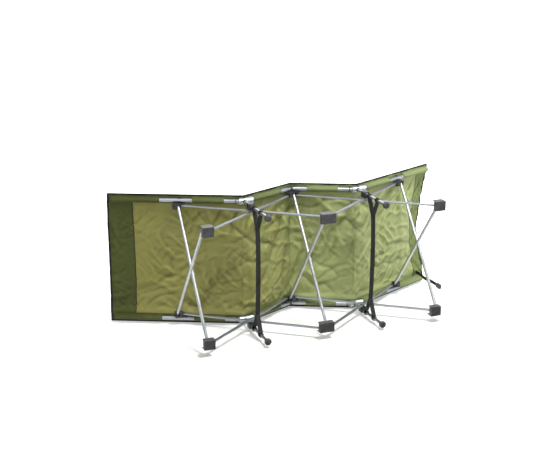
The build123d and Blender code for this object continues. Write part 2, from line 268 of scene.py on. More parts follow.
strut_tube = metal("bright_tube", (0.50, 0.52, 0.55), 0.20, (1.0, 1.0, 0.12))
side_bar = metal("matt_bar", (0.34, 0.36, 0.39), 0.40, (0.15, 1.0, 0.15))
rail_tube = metal("satin_tube", (0.38, 0.40, 0.43), 0.30, (0.12, 1.0, 0.3))
post_tube = metal("post_tube", (0.50, 0.52, 0.55), 0.22, (1.0, 1.0, 0.1))
head_metal = metal("cast_head", (0.52, 0.54, 0.57), 0.26, (1.0, 1.0, 1.0))
print("metals made")

# %% [markdown]
# ## Plastic and rubber
# The box feet and hubs are moulded nylon with a fine spark-eroded grain, which
# scatters light in small specks. Dust and scuffs make the raised parts greyer, so
# a slow noise lifts the colour a little.

# %% Moulded plastics


def plastic(name, colour, worn, rough):
    """Moulded nylon: a fine grain in the bump, and scuffs that mix in a paler colour."""
    finish = Finish(name)
    grain = finish.noise(900.0, 2.0)
    scuff = finish.noise(38.0, 6.0, roughness=0.7)
    finish.feed("Base Color", finish.ramp(scuff, (0.42, colour), (0.75, worn)))
    finish.feed("Roughness", rough + scuff * 0.2 - grain * 0.08)
    finish.bump(grain * 0.6 + scuff * 0.4, 0.35, 0.0006)
    return finish.material


foot_plastic = plastic("foot_nylon", (0.058, 0.058, 0.060), (0.11, 0.11, 0.115), 0.46)
hub_plastic = plastic("hub_nylon", (0.010, 0.010, 0.012), (0.04, 0.04, 0.045), 0.40)
ring_rubber = plastic("ring_rubber", (0.012, 0.012, 0.012), (0.035, 0.035, 0.036), 0.6)
sole_rubber = plastic("sole_rubber", (0.045, 0.046, 0.05), (0.10, 0.10, 0.11), 0.55)
buckle_plastic = plastic("buckle_acetal", (0.012, 0.012, 0.013), (0.03, 0.03, 0.03), 0.3)
print("plastics made")

# %% [markdown]
# ## Cloth
# The bed is coated polyester. Each cloth piece carries a map in metres that
# follows its surface, so the weave stays square to the threads wherever the cloth
# goes. Two waves at right angles give the over and under of a plain weave, and a
# slow noise gives the uneven coating. The coated side has a soft shine on its
# creases.

# %% Woven finishes


wave_turns = 0.314  # a wave texture of this scale has one band to the metre


def woven(name, shades, pitch, rough, shine=0.10, creased=False):
    """Plain weave: height = warp wave times weft wave. Colour = place along X + coating noise; its rise
    towards the right is partly the coating's colour and partly painted light. On creased cloth the
    hollows get painted shade and the ridges a painted highlight."""
    finish = Finish(name, Coat_Roughness=0.45, Specular_IOR_Level=0.14)
    threads = finish.add("UVMap", {"uv_map": "cloth"})
    waves = []
    for direction in ("X", "Y"):
        waves.append(finish.add("TexWave", {"bands_direction": direction, "wave_profile": "SIN"},
                                {"Vector": threads, "Scale": wave_turns / pitch, "Distortion": 0.4,
                                 "Detail": 1.0}, out="Fac"))
    weave = waves[0] * waves[1]
    blotch = finish.noise(3.2, 4.0, roughness=0.6)
    crease = finish.noise(26.0, 5.0, roughness=0.65)
    # The colour grows paler along X, towards the right end: partly the coating's own colour, partly painted
    # light.
    along = finish.add("SeparateXYZ", None, {"Vector": finish.place()}, out="X")
    key = along * 0.5 + 0.5 + (blotch - 0.5) * 0.35 + (crease - 0.5) * 0.12
    colour = finish.ramp(key - weave * 0.03, *shades)
    if creased:
        # Painted shade and highlight: the fold attribute darkens the hollows of the creases and pales their
        # ridges, multiplying the colour.
        fold = finish.add("Attribute", {"attribute_name": "fold"}, out="Fac")
        painted_crease_light = finish.ramp(fold * 0.5 + 0.5 + (crease - 0.5) * 0.25, (0.0, (0.70,) * 3),
                           (0.36, (0.96,) * 3), (0.60, (1.0,) * 3), (1.0, (1.20, 1.20, 1.16)))
        colour = finish.add("Mix", {"data_type": "RGBA", "blend_type": "MULTIPLY"},
                            {"Factor": 1.0, 6: colour, 7: painted_crease_light}, out=2)  # its two colour sockets
    finish.feed("Base Color", colour)
    finish.feed("Roughness", rough + crease * 0.18 - weave * 0.05)
    finish.shader.inputs["Coat Weight"].default_value = shine
    finish.bump(weave * 0.35 + crease * 0.65, 0.35, 0.0012)
    return finish.material


# Each ramp runs from the left end to the right; its paler right hand stops are partly cloth colour and
# partly painted light.
bed_cloth = woven("coated_olive", [(0.1, (0.150, 0.143, 0.036)), (0.36, (0.192, 0.192, 0.061)),
                                   (0.5, (0.205, 0.225, 0.084)), (0.6, (0.252, 0.282, 0.116)),
                                   (0.95, (0.232, 0.268, 0.110))], 0.0011, 0.42, creased=True)
band_cloth = woven("dark_olive", [(0.1, (0.041, 0.048, 0.011)), (0.9, (0.125, 0.154, 0.050))],
                   0.0009, 0.55, 0.0, creased=True)
side_cloth = woven("side_olive", [(0.1, (0.038, 0.045, 0.010)), (0.9, (0.176, 0.212, 0.090))],
                   0.0009, 0.5, 0.03)
binding_cloth = woven("black_binding", [(0.1, (0.008, 0.008, 0.009)), (0.9, (0.018, 0.018, 0.02))],
                      0.0008, 0.7, 0.0)
thread = woven("olive_thread", [(0.1, (0.05, 0.075, 0.02)), (0.9, (0.08, 0.11, 0.03))], 0.0004, 0.6, 0.0)
print("cloths made")

# %% [markdown]
# ## Webbing
# Webbing is woven thick, with ribs across the band about every two millimetres
# and plain edges. The ribs follow the band's own map, whose first number runs
# along it.

# %% Webbing finish


rib_pitch = 0.0020


def webbing_finish(name, dark, pale):
    """Ribs: height = sin of the distance along the band, paler on the rib tops."""
    finish = Finish(name, Specular_IOR_Level=0.3)
    lie = finish.add("UVMap", {"uv_map": "cloth"})
    ribs = finish.add("TexWave", {"bands_direction": "X", "wave_profile": "SIN"},
                      {"Vector": lie, "Scale": wave_turns / rib_pitch, "Distortion": 0.3}, out="Fac")
    fuzz = finish.noise(420.0, 3.0)
    finish.feed("Base Color", finish.ramp(ribs * 0.6 + fuzz * 0.4, (0.2, dark), (0.85, pale)))
    finish.feed("Roughness", 0.62 + fuzz * 0.25)
    finish.bump(ribs * 0.7 + fuzz * 0.3, 0.5, 0.0008)
    return finish.material


webbing = webbing_finish("black_webbing", (0.006, 0.006, 0.007), (0.028, 0.028, 0.03))
print("webbing made")

# %% [markdown]
# ## Dressing the frame
# The frame's own parts keep their shape and only change their material. A post or
# a rail is one part, a tube with rubber rings and a rubber end, so its faces are
# told apart by how far they stand from the tube's axis and how near its end.

# %% Materials on the frame's parts
frame_finish = {"foot_": foot_plastic, "hub_": hub_plastic, "slider_": hub_plastic,
                "cross_strut_": strut_tube, "side_strut_": side_bar, "post_head_": head_metal,
                "buckle": buckle_plastic}


def face_centres(node):
    """The middle of each of a part's faces, read as one array."""
    mesh = nodes[node].data
    centres = np.zeros(len(mesh.polygons) * 3, np.float32)
    mesh.polygons.foreach_get("center", centres)
    return centres.reshape(-1, 3)


def dress(node, materials, choice=None):
    """Gives a part its materials, and each face the number of the one it wears."""
    mesh = nodes[node].data
    mesh.materials.clear()
    for material in materials:
        mesh.materials.append(material)
    if choice is not None:
        mesh.polygons.foreach_set("material_index", choice.astype(np.int32))
        mesh.update()


for node in nodes:
    for start, material in frame_finish.items():
        if node.startswith(start):
            dress(node, [material])
sole_top = 0.0255
post_tube_reach = 0.0084  # faces further than this from the axis are on a ring
rail_tube_reach = 0.0116
plug_length = 0.03
for side in ("left", "right"):
    for k in (1, 2):
        node = f"post_{side}_{k}"
        centres = face_centres(node)
        reach = np.hypot(centres[:, 0] - bay[k], centres[:, 1] - middle(node, 1))
        choice = np.where(centres[:, 2] < sole_top, 2, np.where(reach > post_tube_reach, 1, 0))
        dress(node, [post_tube, ring_rubber, sole_rubber], choice)
    for k in (1, 2, 3, 4):
        node = f"rail_{side}_{k}"
        centres = face_centres(node)
        axis_z = cloth_z(centres[:, 0], k) - sheet_rise / math.cos(slope)
        reach = np.hypot((centres[:, 2] - axis_z) * math.cos(slope), centres[:, 1] - middle(node, 1))
        plug = np.minimum(np.abs(centres[:, 0] - left_end), np.abs(centres[:, 0] - right_end)) < plug_length
        dress(node, [rail_tube, ring_rubber], ((reach > rail_tube_reach) | plug).astype(int))
print("frame dressed")

# %% [markdown]
# ## Grids
# A sheet of cloth is a grid of points that a formula fills. The points are worked
# out as one array and put into the mesh at once. Each mesh gets its map in metres,
# which the weave reads.

# %% Helpers that make a grid


def add_mesh(name, points, faces, uv, material):
    """A mesh object at the origin from points, quads and one (u, v) for each point."""
    mesh = bpy.data.meshes.new(name)
    mesh.from_pydata(points.reshape(-1, 3).tolist(), [], [list(face) for face in faces])
    layer = mesh.uv_layers.new(name="cloth")
    corners = np.zeros(len(mesh.loops), np.int32)
    mesh.loops.foreach_get("vertex_index", corners)
    layer.data.foreach_set("uv", uv.reshape(-1, 2)[corners].astype(np.float32).ravel())
    mesh.polygons.foreach_set("use_smooth", np.ones(len(mesh.polygons), bool))
    mesh.materials.append(material)
    mesh.update()
    piece = bpy.data.objects.new(name, mesh)
    bpy.context.scene.collection.objects.link(piece)
    return piece


def quads(rows, columns, wrap=False):
    """Corner numbers of each square of a grid, and of the strip that closes it if it wraps."""
    i, j = np.meshgrid(np.arange(rows - 1), np.arange(columns if wrap else columns - 1), indexing="ij")
    k = (j + 1) % columns
    return np.stack([i * columns + j, (i + 1) * columns + j, (i + 1) * columns + k, i * columns + k],
                    -1).reshape(-1, 4)


def grid(name, points, uv, material, thickness=0.0, smooth=0):
    """A surface through a grid of points, with a wall and smoothing if asked."""
    piece = add_mesh(name, points, quads(*points.shape[:2]), uv, material)
    if smooth:
        soft = piece.modifiers.new("smooth", "SUBSURF")
        soft.levels = soft.render_levels = smooth
        soft.boundary_smooth = "PRESERVE_CORNERS"
    if thickness:
        wall = piece.modifiers.new("wall", "SOLIDIFY")
        wall.thickness, wall.offset = thickness, 0.0
    return piece


print("grid helpers ready")

# %% [markdown]
# ## Sweeps
# Tape, webbing and sleeves have the same section all along, so each is a closed
# outline carried along a path. The section stays square to the path, and its flat
# side is kept turned one way, as webbing is when it is sewn down.

# %% Helpers that carry an outline along a path


def sweep(name, path, across, outline, material):
    """A closed outline carried along a path, and capped. A point is path + a * across + b * normal,
    where normal is square to the path and to across."""
    path, outline = np.asarray(path, float), np.asarray(outline, float)
    along = np.gradient(path, axis=0)
    along /= np.linalg.norm(along, axis=1, keepdims=True)
    across = np.broadcast_to(np.asarray(across, float), path.shape)
    across = across - along * np.sum(across * along, 1, keepdims=True)
    across = across / np.linalg.norm(across, axis=1, keepdims=True)
    normal = np.cross(along, across)
    points = (path[:, None] + outline[None, :, :1] * across[:, None]
              + outline[None, :, 1:] * normal[:, None])
    run = np.concatenate([[0], np.cumsum(np.linalg.norm(np.diff(path, axis=0), axis=1))])
    round_it = np.concatenate([[0], np.cumsum(np.linalg.norm(np.diff(outline, axis=0), axis=1))])
    uv = np.stack(np.broadcast_arrays(run[:, None], round_it[None]), -1)
    n, m = points.shape[:2]
    faces = quads(n, m, wrap=True).tolist()
    area = np.sum(outline[:, 0] * np.roll(outline[:, 1], -1) - outline[:, 1] * np.roll(outline[:, 0], -1))
    faces += [list(range(m)), list(range(n * m - 1, (n - 1) * m - 1, -1))]
    if area > 0:
        faces = [face[::-1] for face in faces]
    return add_mesh(name, points, faces, uv, material)


def oval(half_width, half_height, count=12, power=1.0):
    """Points round an oval: cos and sin of the angle, pushed towards a box by a small power."""
    turn = np.linspace(0, 2 * np.pi, count, endpoint=False)
    c, s = np.cos(turn), np.sin(turn)
    return np.stack([half_width * np.sign(c) * np.abs(c) ** power,
                     half_height * np.sign(s) * np.abs(s) ** power], 1)


def line(start, end, count):
    """Evenly spaced points from start to end."""
    t = np.linspace(0, 1, count)[:, None]
    return np.asarray(start) * (1 - t) + np.asarray(end) * t


print("sweep helpers ready")

# %% [markdown]
# ## The shape of the slack cloth
# The cloth is sewn to a strip along each rail and free at both ends. It is cut
# larger than the gap between the rails, so it is slack. Its flat shape is a grid of
# columns across the bed, which follow the zigzag of the rails. At the right hand
# end, nothing holds the edge between the rails, so its middle draws inwards and
# bows up.

# %% Grid of the bed cloth
columns = {1: 78, 2: 40, 3: 40, 4: 70}
xs = np.concatenate([np.linspace(*spans[k], columns[k])[0 if k == 1 else 1:] for k in spans])
rail_of = np.concatenate([np.full(columns[k] - (k > 1), k) for k in spans])
cuts = np.cumsum([0] + [columns[k] - 1 for k in spans])
ys = np.linspace(-seam_y, seam_y, 75)
zs = np.array([cloth_z(x, k) for x, k in zip(xs, rail_of)])
flat = np.zeros((len(xs), len(ys), 3))
flat[..., 0], flat[..., 1], flat[..., 2] = xs[:, None], ys[None], zs[:, None]
cloth_uv = np.stack(np.meshgrid((xs - xs[0]) / math.cos(slope), ys, indexing="ij"), -1)


def ease(t):
    """A smooth step from 0 to 1."""
    t = np.clip(t, 0, 1)
    return t * t * (3 - 2 * t)


free_end = ease((xs - station[3]) / (right_end - station[3]))[:, None]
bow = (1 - (ys / seam_y) ** 2)[None]
bow_inward, bow_upward = 0.050, 0.040
shaped = flat.copy()
shaped[..., 0] -= bow_inward * free_end * bow
shaped[..., 2] += bow_upward * free_end * bow
print("cloth grid", shaped.shape[:2], "points")

# %% [markdown]
# ## Letting it hang
# Gravity draws long folds down from the upper rail and piles the spare cloth above
# the lower one, as the cot lies on its side. Such folds are hard to draw and easy
# to simulate: the two seams are pinned, the cloth is told to be a few percent
# larger than its mesh, and a pull towards the lower rail makes it droop.

# %% Simulate the drape


def simulate_drape(points, frames=40):
    """Pins the two seams and lets an oversized cloth buckle, then returns its points."""
    uv = np.zeros(points.shape[:2] + (2,))
    piece = add_mesh("trial_cloth", points, quads(*points.shape[:2]), uv, bed_cloth)
    held = piece.vertex_groups.new(name="held")
    numbers = np.arange(points.shape[0] * points.shape[1]).reshape(points.shape[:2])
    held.add(numbers[:, [0, -1]].ravel().tolist(), 1.0, "REPLACE")
    cloth = piece.modifiers.new("cloth", "CLOTH")
    settings = cloth.settings
    settings.quality = 6
    settings.mass = 0.25
    settings.tension_stiffness = settings.compression_stiffness = 18
    settings.shear_stiffness = 8
    settings.bending_stiffness = 0.15
    settings.shrink_min = settings.shrink_max = -0.03  # a negative shrink grows the cloth
    settings.vertex_group_mass = "held"
    settings.air_damping = 3.0
    scene = bpy.context.scene
    scene.gravity = (1.2, 6.5, 0.4)  # mostly towards the left rail, the lower one here
    cloth.point_cache.frame_start, cloth.point_cache.frame_end = 1, frames
    for number in range(1, frames + 1):
        scene.frame_set(number)
    done = piece.evaluated_get(bpy.context.evaluated_depsgraph_get())
    result = np.zeros(numbers.size * 3, np.float32)
    done.data.vertices.foreach_get("co", result)
    bpy.data.objects.remove(piece)
    scene.frame_set(1)
    return result.reshape(points.shape).astype(float)


print("drape ready to simulate")

# %% [markdown]
# ## Creasing it
# The cloth also remembers being packed in its bag, as sharp creases at every angle.
# Those come from a formula: a ridge is one minus the size of a wave, whose sharp
# top is a crease, and each wave's phase is bent by slower ones so that no crease is
# straight or repeats. The widest creases are the deepest.

# %% Creases by formula
rng = np.random.default_rng(11)
flat_x, flat_y = np.meshgrid(xs / math.cos(slope), ys, indexing="ij")


def slow_wave(cycles):
    """A smooth random field: a sum of six sines of random direction, near that many per metre."""
    total = np.zeros_like(flat_x)
    for _ in range(6):
        angle, phase, rate = rng.uniform(0, 2 * np.pi), rng.uniform(0, 2 * np.pi), rng.uniform(0.6, 1.4)
        k = 2 * np.pi * cycles * rate
        total += np.sin(k * (flat_x * np.cos(angle) + flat_y * np.sin(angle)) + phase)
    return total / 6 ** 0.5


def creases(cycles, angle, depth, bend=1.3):
    """Ridges = (1 - |sin phase|) ** 2.6, phase = distance across the crease plus slow waves, and
    each ridge comes and goes along its length with another slow wave."""
    across = flat_x * np.cos(angle) + flat_y * np.sin(angle)
    phase = np.pi * cycles * across + bend * slow_wave(cycles * 0.16) + 0.25 * slow_wave(cycles * 0.9)
    strength = np.clip(0.10 + 0.95 * slow_wave(cycles * 0.22), 0, 1.8)
    return depth * strength * (1 - np.abs(np.sin(phase))) ** 2.6


crease_sets = [(3.4, 0.62, 0.026), (4.0, 2.45, -0.024), (6.5, 1.35, 0.018), (7.5, 0.95, -0.018),
               (8.5, 2.15, 0.017), (11.0, 1.75, -0.013), (12.0, 0.45, 0.013), (16.0, 2.7, -0.010),
               (18.0, 1.15, 0.009), (24.0, 1.95, -0.006), (26.0, 0.75, 0.006)]
packed = sum(creases(*one) for one in crease_sets) + 0.005 * slow_wave(3.0)
packed_limit = 0.030
packed = packed_limit * np.tanh(packed / packed_limit)
around = sum(np.roll(packed, step, axis) for step in (2, -2) for axis in (0, 1)) / 4
# The fold mark is painted shade and highlight for the cloth's colour: low in the hollows of the creases,
# seen from below, and high on their ridges.
crease_shade_mark = np.tanh(-1.1 * (packed - around) / (packed - around).std())
print("creases in", len(crease_sets), "directions")

# %% [markdown]
# ## Hanging and creasing together
# The two shapes are added. Each is held within a limit by a tanh, which bends a
# large number smoothly down to it. Near the seams all folds are calmed, so that the
# cloth meets its strips and keeps clear of the hubs, and the left end, which is
# stiff with binding, folds less.

# %% The folded surface
start = shaped.copy()
start[..., 2] += 0.004 * slow_wave(5.0)
hung = simulate_drape(start)
moved = hung - shaped
moved[..., 2] = 0.020 * np.tanh(moved[..., 2] / 0.030)
moved[..., :2] = 0.016 * np.tanh(moved[..., :2] / 0.020)
moved[..., 2] += packed
calm_width = 0.050
calm = ease((seam_y - np.abs(ys)) / calm_width)[None, :, None]
moved *= calm
moved[[cuts[0]], :, 0] *= 0.3
moved[:, :, 2] *= 0.45 + 0.55 * ease((xs - left_end) / 0.2)[:, None]
moved[cuts[1:-1], :, 0] = 0.0  # the columns that are cut stay over their station or post
surface = shaped + moved
print("folds reach", round(float(np.abs(moved[..., 2]).max()) * 1000, 1), "mm off the flat")

# %% [markdown]
# ## The bed cloth
# The cloth is cut over the middle hubs and over each pair of posts, because each
# stretch moves with the rail beneath it. When the cot folds, the rails come
# together and the cloth crumples between them; each stretch rides on the left rail.
# Its far edge runs on under the right hand strip, where it can slide unseen. When
# the cot opens, the rails draw apart a little at the valleys, so there each stretch
# also runs on over its neighbour. The last stretch at each end is a darker band.

# %% Stretches of cloth
tuck, tuck_rows = 0.040, 3
left_band, right_band = 0.118, 0.092
band = {1: int(np.searchsorted(xs, left_end + left_band * math.cos(slope))),
        4: int(np.searchsorted(xs, right_end - right_band * math.cos(slope)))}


def flatten(piece, number):
    """Rides the left rail, with a mesh of its own."""
    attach(piece, f"rail_left_{number}")
    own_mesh(piece)


def with_lap(number, first, last):
    """The surface's columns, with the ones past a valley added and lifted, and their new limits."""
    if way[number] > 0 and last == cuts[number]:
        rows = surface[first:last + 1 + lap_columns].copy()
        rows[-lap_columns:, :, 2] += lap_lift
        return rows, first, last + lap_columns
    if way[number] < 0 and first == cuts[number - 1]:
        rows = surface[first - lap_columns:last + 1].copy()
        rows[:lap_columns, :, 2] += lap_lift
        return rows, first - lap_columns, last
    return surface[first:last + 1].copy(), first, last


def stretch(name, number, first, last, material):
    """A run of the surface's columns, with a straight tuck added past the right seam."""
    rows, first, last = with_lap(number, first, last)
    extra = np.linspace(tuck, tuck / tuck_rows, tuck_rows)
    tail = np.repeat(rows[:, :1], tuck_rows, axis=1)
    tail[..., 1] -= extra
    tail[..., 0] = xs[first:last + 1, None]
    uv = cloth_uv[first:last + 1]
    uv_tail = np.repeat(uv[:, :1], tuck_rows, axis=1)
    uv_tail[..., 1] -= extra
    points = np.concatenate([tail, rows], 1)
    piece = grid(name, points, np.concatenate([uv_tail, uv], 1), material, 0.0009, 1)
    # The fold attribute carries the painted crease shade and highlight.
    mark = crease_shade_mark[first:last + 1] * calm[0, :, 0]
    mark = np.concatenate([np.zeros((len(mark), tuck_rows)), mark], 1)
    attribute = piece.data.attributes.new("fold", "FLOAT", "POINT")
    attribute.data.foreach_set("value", mark.astype(np.float32).ravel())
    flatten(piece, number)
    return piece


stretch("end_band_left", 1, 0, band[1], band_cloth)
stretch("bed_cloth_1", 1, band[1], cuts[1], bed_cloth)
stretch("bed_cloth_2", 2, cuts[1], cuts[2], bed_cloth)
stretch("bed_cloth_3", 3, cuts[2], cuts[3], bed_cloth)
stretch("bed_cloth_4", 4, cuts[3], band[4], bed_cloth)
stretch("end_band_right", 4, band[4], cuts[4], band_cloth)
for number in (1, 2, 3, 4):
    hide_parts(f"bed_panel_{number}")

# %% [markdown]
# ## Binding
# A black tape is folded over both free ends and along both outer edges, and a
# narrower one covers the seam between the end band and the bed cloth. Tape that
# lies on the cloth rides on the left rail with it.

# %% Binding on the ends and band seams


def cross_tape(name, number, column, half_width, half_height, shift):
    """An oval tape along one column of the surface."""
    path = surface[column].copy()
    path[:, 0] += shift
    before, after = surface[max(column - 1, 0)], surface[min(column + 1, len(xs) - 1)]
    piece = sweep(name, path, after - before, oval(half_width, half_height, 10, 0.8), binding_cloth)
    flatten(piece, number)
    return piece


end_tape, seam_tape = (0.0055, 0.0022), (0.0024, 0.0014)
tapes = [cross_tape("end_binding_left", 1, 0, *end_tape, -0.001),
         cross_tape("end_binding_right", 4, len(xs) - 1, *end_tape, 0.001),
         cross_tape("band_seam_left", 1, band[1], *seam_tape, 0.0),
         cross_tape("band_seam_right", 4, band[4], *seam_tape, 0.0)]
print("tapes:", len(tapes))

# %% [markdown]
# ## Side strips
# Along each rail runs a strip of stronger cloth in two layers, with the bed cloth
# sewn between them. It carries the sleeves that the rail runs through. The strip
# rides on its own rail and never flattens, so it is a piece of its own. A flap of
# its top layer lies over the bed cloth and follows its folds.

# %% Strips and flaps


def strip_path(x1, x2, number, y, rise=0.0):
    """Points along a rail at one distance from the middle, with the lap past the valley added."""
    x = np.linspace(x1, x2, 24)
    if way[number] > 0:
        x = np.concatenate([x, x2 + np.array([0.002, lap])])
    else:
        x = np.concatenate([x1 - np.array([lap, 0.002]), x])
    return np.stack([x, np.full_like(x, y), lapped_z(x, number) + rise], 1)


def layer(name, number, side, rise):
    """A flat strip over a rail from the seam to the outer edge. The under layer also sags in
    places: its sag is one sine along the rail times a slower one."""
    strip_in, half_wall = seam_y - 0.002, 0.0005
    path = strip_path(*spans[number], number, side * (strip_in + edge_y) / 2, rise)
    wobble = 0.0012 * np.sin(path[:, 0] * 61 + 2 * side) * np.sin(path[:, 0] * 23)
    path[:, 2] += wobble * (rise < 0)
    outline = oval(abs(edge_y - strip_in) / 2, half_wall, 16, 0.35)
    piece = sweep(name, path, (0, 1, 0), outline, side_cloth)
    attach(piece, f"rail_{'left' if side > 0 else 'right'}_{number}")
    return piece


def flap(name, number, side):
    """Part of the surface beside a seam, lifted a little above the bed cloth."""
    flap_width, flap_lift, under_strip = 0.060, 0.0014, 0.004
    keep = (np.abs(ys) > seam_y - flap_width) & (np.sign(ys) == side)
    points = with_lap(number, cuts[number - 1], cuts[number])[0][:, keep]
    points[..., 2] += flap_lift
    outer = points[:, -1 if side > 0 else 0].copy()
    outer[:, 1] = side * (seam_y + under_strip)
    order = (points, outer[:, None]) if side > 0 else (outer[:, None], points)
    points = np.concatenate(order, 1)
    uv = points[..., :2].copy()
    piece = grid(name, points, uv, side_cloth, 0.0008, 1)
    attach(piece, f"rail_{'left' if side > 0 else 'right'}_{number}")
    return piece


layer_rise = 0.0013
strips = {}
for side, hand in ((1, "left"), (-1, "right")):
    for number in spans:
        strips[hand, number] = [layer(f"hem_top_{hand}_{number}", number, side, layer_rise),
                                layer(f"hem_under_{hand}_{number}", number, side, -layer_rise),
                                flap(f"hem_flap_{hand}_{number}", number, side)]
print("strips:", 3 * len(strips))

# %% [markdown]
# ## Edge binding
# The black tape along the outer edges is one piece for each rail, as the strip
# beneath it is, and a short length of it closes the strip's end at each corner.

# %% Binding along the outer edges
for side, hand in ((1, "left"), (-1, "right")):
    for number, (x1, x2) in spans.items():
        piece = sweep(f"edge_binding_{hand}_{number}",
                      strip_path(x1, x2, number, side * (edge_y - 0.001)), (0, 1, 0),
                      oval(0.0045, 0.0026, 12, 0.8), binding_cloth)
        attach(piece, f"rail_{hand}_{number}")
        strips[hand, number].append(piece)
    for number, x in ((1, left_end), (4, right_end)):
        piece = sweep(f"corner_binding_{hand}_{number}",
                      line((x, side * (seam_y - 0.004), cloth_z(x, number)),
                           (x, side * (edge_y + 0.002), cloth_z(x, number)), 10),
                      (1, 0, -way[number] * math.tan(slope)), oval(0.0055, 0.0028, 10, 0.8), binding_cloth)
        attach(piece, f"rail_{hand}_{number}")
        strips[hand, number].append(piece)
print("edges bound")

# %% [markdown]
# ## Sleeves
# Under the strip the cloth is looped round the rail. The loop hangs loosely, a
# little deeper in some places than in others, and is left open over the hubs and
# the post heads. Each stretch starts and ends with a doubled hem.

# %% Rail sleeves
left_overhang, right_overhang = 0.345, 0.273  # lengths of rail beyond the end hubs
end_hem, pin_inset = 0.012, 0.0199
past_hub = 0.066
sleeve_spans = {1: [(past_hub, 0.230), (-left_overhang + end_hem - pin_inset, -0.102)],
                2: [(past_hub, 0.268)],
                3: [(past_hub, 0.230)],
                4: [(past_hub, 0.268), (-right_overhang + end_hem - pin_inset, -0.060)]}
hub_to_pin = 0.018


def along_rail(number, s, y):
    """The point s along a rail from its hub pin, on the rail's axis."""
    x = home[number] + way[number] * (hub_to_pin + s * math.cos(slope))
    return np.stack([x, np.full_like(x, y), cloth_z(x, number) - sheet_rise / math.cos(slope)], -1)


loop_half_width, loop_depth, loop_top = 0.0160, 0.0280, 0.0138


def loop_outline(wall):
    """The loop's outline: an outer half oval hanging from the strip, and an inner one inside it."""
    turn = np.linspace(0, np.pi, 17)
    halves = []
    for inset, angles in ((0.0, turn), (wall, turn[::-1])):
        halves.append(np.stack([(loop_half_width - inset) * np.cos(angles),
                                loop_top - (loop_depth - inset) * np.sin(angles)], 1))
    return np.concatenate(halves)


def sleeve(name, number, side, start, end):
    """A loop carried along the rail, whose depth and sag vary along it as slow waves."""
    count = max(24, int(abs(end - start) / 0.005))
    s = np.linspace(start, end, count)
    path = along_rail(number, s, side * rail_y)
    piece = sweep(name, path, (0, way[number], 0), loop_outline(0.0009), side_cloth)
    points = np.zeros(len(piece.data.vertices) * 3)
    piece.data.vertices.foreach_get("co", points)
    points = points.reshape(count, -1, 3)
    t = (s - start) / (end - start)
    mouth = 1 - ease(np.minimum(t, 1 - t) * abs(end - start) / 0.02)
    ripple = (0.6 + 0.4 * np.sin(97 * s + number) * np.sin(41 * s + 2 * side)) * (1 - 0.6 * mouth)
    reach = points - path[:, None]
    depth = np.clip(-reach[..., 2] / 0.0148, -0.3, 1.0)  # 1 near the bottom of the loop
    swell = 1 + 0.075 * ripple[:, None] * np.clip(depth + 0.4, 0, 1)
    skew = 0.0011 * np.sin(150 * s[:, None] + 260 * reach[..., 1])
    points[..., 1] = path[:, None, 1] + reach[..., 1] * swell
    points[..., 2] = path[:, None, 2] + reach[..., 2] * swell - np.abs(skew) * (depth > 0)
    piece.data.vertices.foreach_set("co", points.ravel())
    piece.data.update()
    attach(piece, f"rail_{'left' if side > 0 else 'right'}_{number}")
    return piece


print("sleeve shape ready")

# %% [markdown]
# ## Sewing the sleeves on
# The same sleeves go on both sides. The right hand strips, with their sleeves,
# stand for the frame's flat hem parts.

# %% Sleeves on all eight rails
for side, hand in ((1, "left"), (-1, "right")):
    for number, runs in sleeve_spans.items():
        for place, (start, end) in enumerate(runs, 1):
            strips[hand, number].append(sleeve(f"sleeve_{hand}_{number}_{place}", number, side, start, end))
        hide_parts(*([f"right_hem_{number}"] if side < 0 else []))
print("sleeves sewn")

# %% [markdown]
# ## Stitches
# A seam reads as a seam because of its stitches. Each is a short, fat thread with
# eight faces. One row runs along each strip, inside the seam, and one beside the
# edge binding, on both sides of the cloth.

# %% Rows of stitches


def stitch_row(name, starts, ends, body):
    """A thread for each pair of points: a box whose middle is fatter than its ends."""
    run = ends - starts
    side_way = np.cross(run, (0, 0, 1.0))
    side_way /= np.linalg.norm(side_way, axis=1, keepdims=True)
    upward = np.cross(side_way, run)
    upward /= np.linalg.norm(upward, axis=1, keepdims=True)
    t = np.array([0.0, 0.5, 1.0])
    fat = np.array([0.5, 1.0, 0.5]) * 0.00055
    corner = np.array([(1, 1), (-1, 1), (-1, -1), (1, -1)])
    points = (starts[:, None, None] + t[None, :, None, None] * run[:, None, None]
              + fat[None, :, None, None] * (corner[None, None, :, :1] * side_way[:, None, None]
                                            + corner[None, None, :, 1:] * upward[:, None, None]))
    one = np.concatenate([quads(3, 4, wrap=True), [[0, 1, 2, 3], [11, 10, 9, 8]]])
    faces = (one[None] + 12 * np.arange(len(starts))[:, None, None]).reshape(-1, 4)
    uv = np.zeros((len(starts), 12, 2))
    piece = add_mesh(name, points, faces, uv, thread)
    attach(piece, body)
    return piece


stitch_pitch, stitch_length, thread_rise = 0.0085, 0.0055, 0.0020
for side, hand in ((1, "left"), (-1, "right")):
    for number, (x1, x2) in spans.items():
        x = np.arange(x1 + 0.004, x2 - 0.008, stitch_pitch)
        starts, ends = [], []
        for y in (seam_y + 0.0015, edge_y - 0.0075):
            for rise in (thread_rise, -thread_rise):
                for row, at in ((starts, x), (ends, x + stitch_length)):
                    row.append(np.stack([at, np.full_like(x, side * y), cloth_z(at, number) + rise], 1))
        strips[hand, number].append(stitch_row(f"stitches_{hand}_{number}", np.concatenate(starts),
                                               np.concatenate(ends), f"rail_{hand}_{number}"))
print("stitches sewn")

# %% [markdown]
# ## Spreader straps
# Across each pair of posts runs a band of webbing, whose ends fork to two rings on
# each post. When the cot folds, the posts come together and the band goes slack.
# Each half rides on its own post, and the halves overlap
# in the middle, one lying on the other.

# %% Webbing between the posts
join_y = rail_y - 0.085  # where the band forks
post_r = 0.0106
half_web = 0.0009
overlap_y = 0.055  # each half band runs this far past the middle
band_sag = 0.010


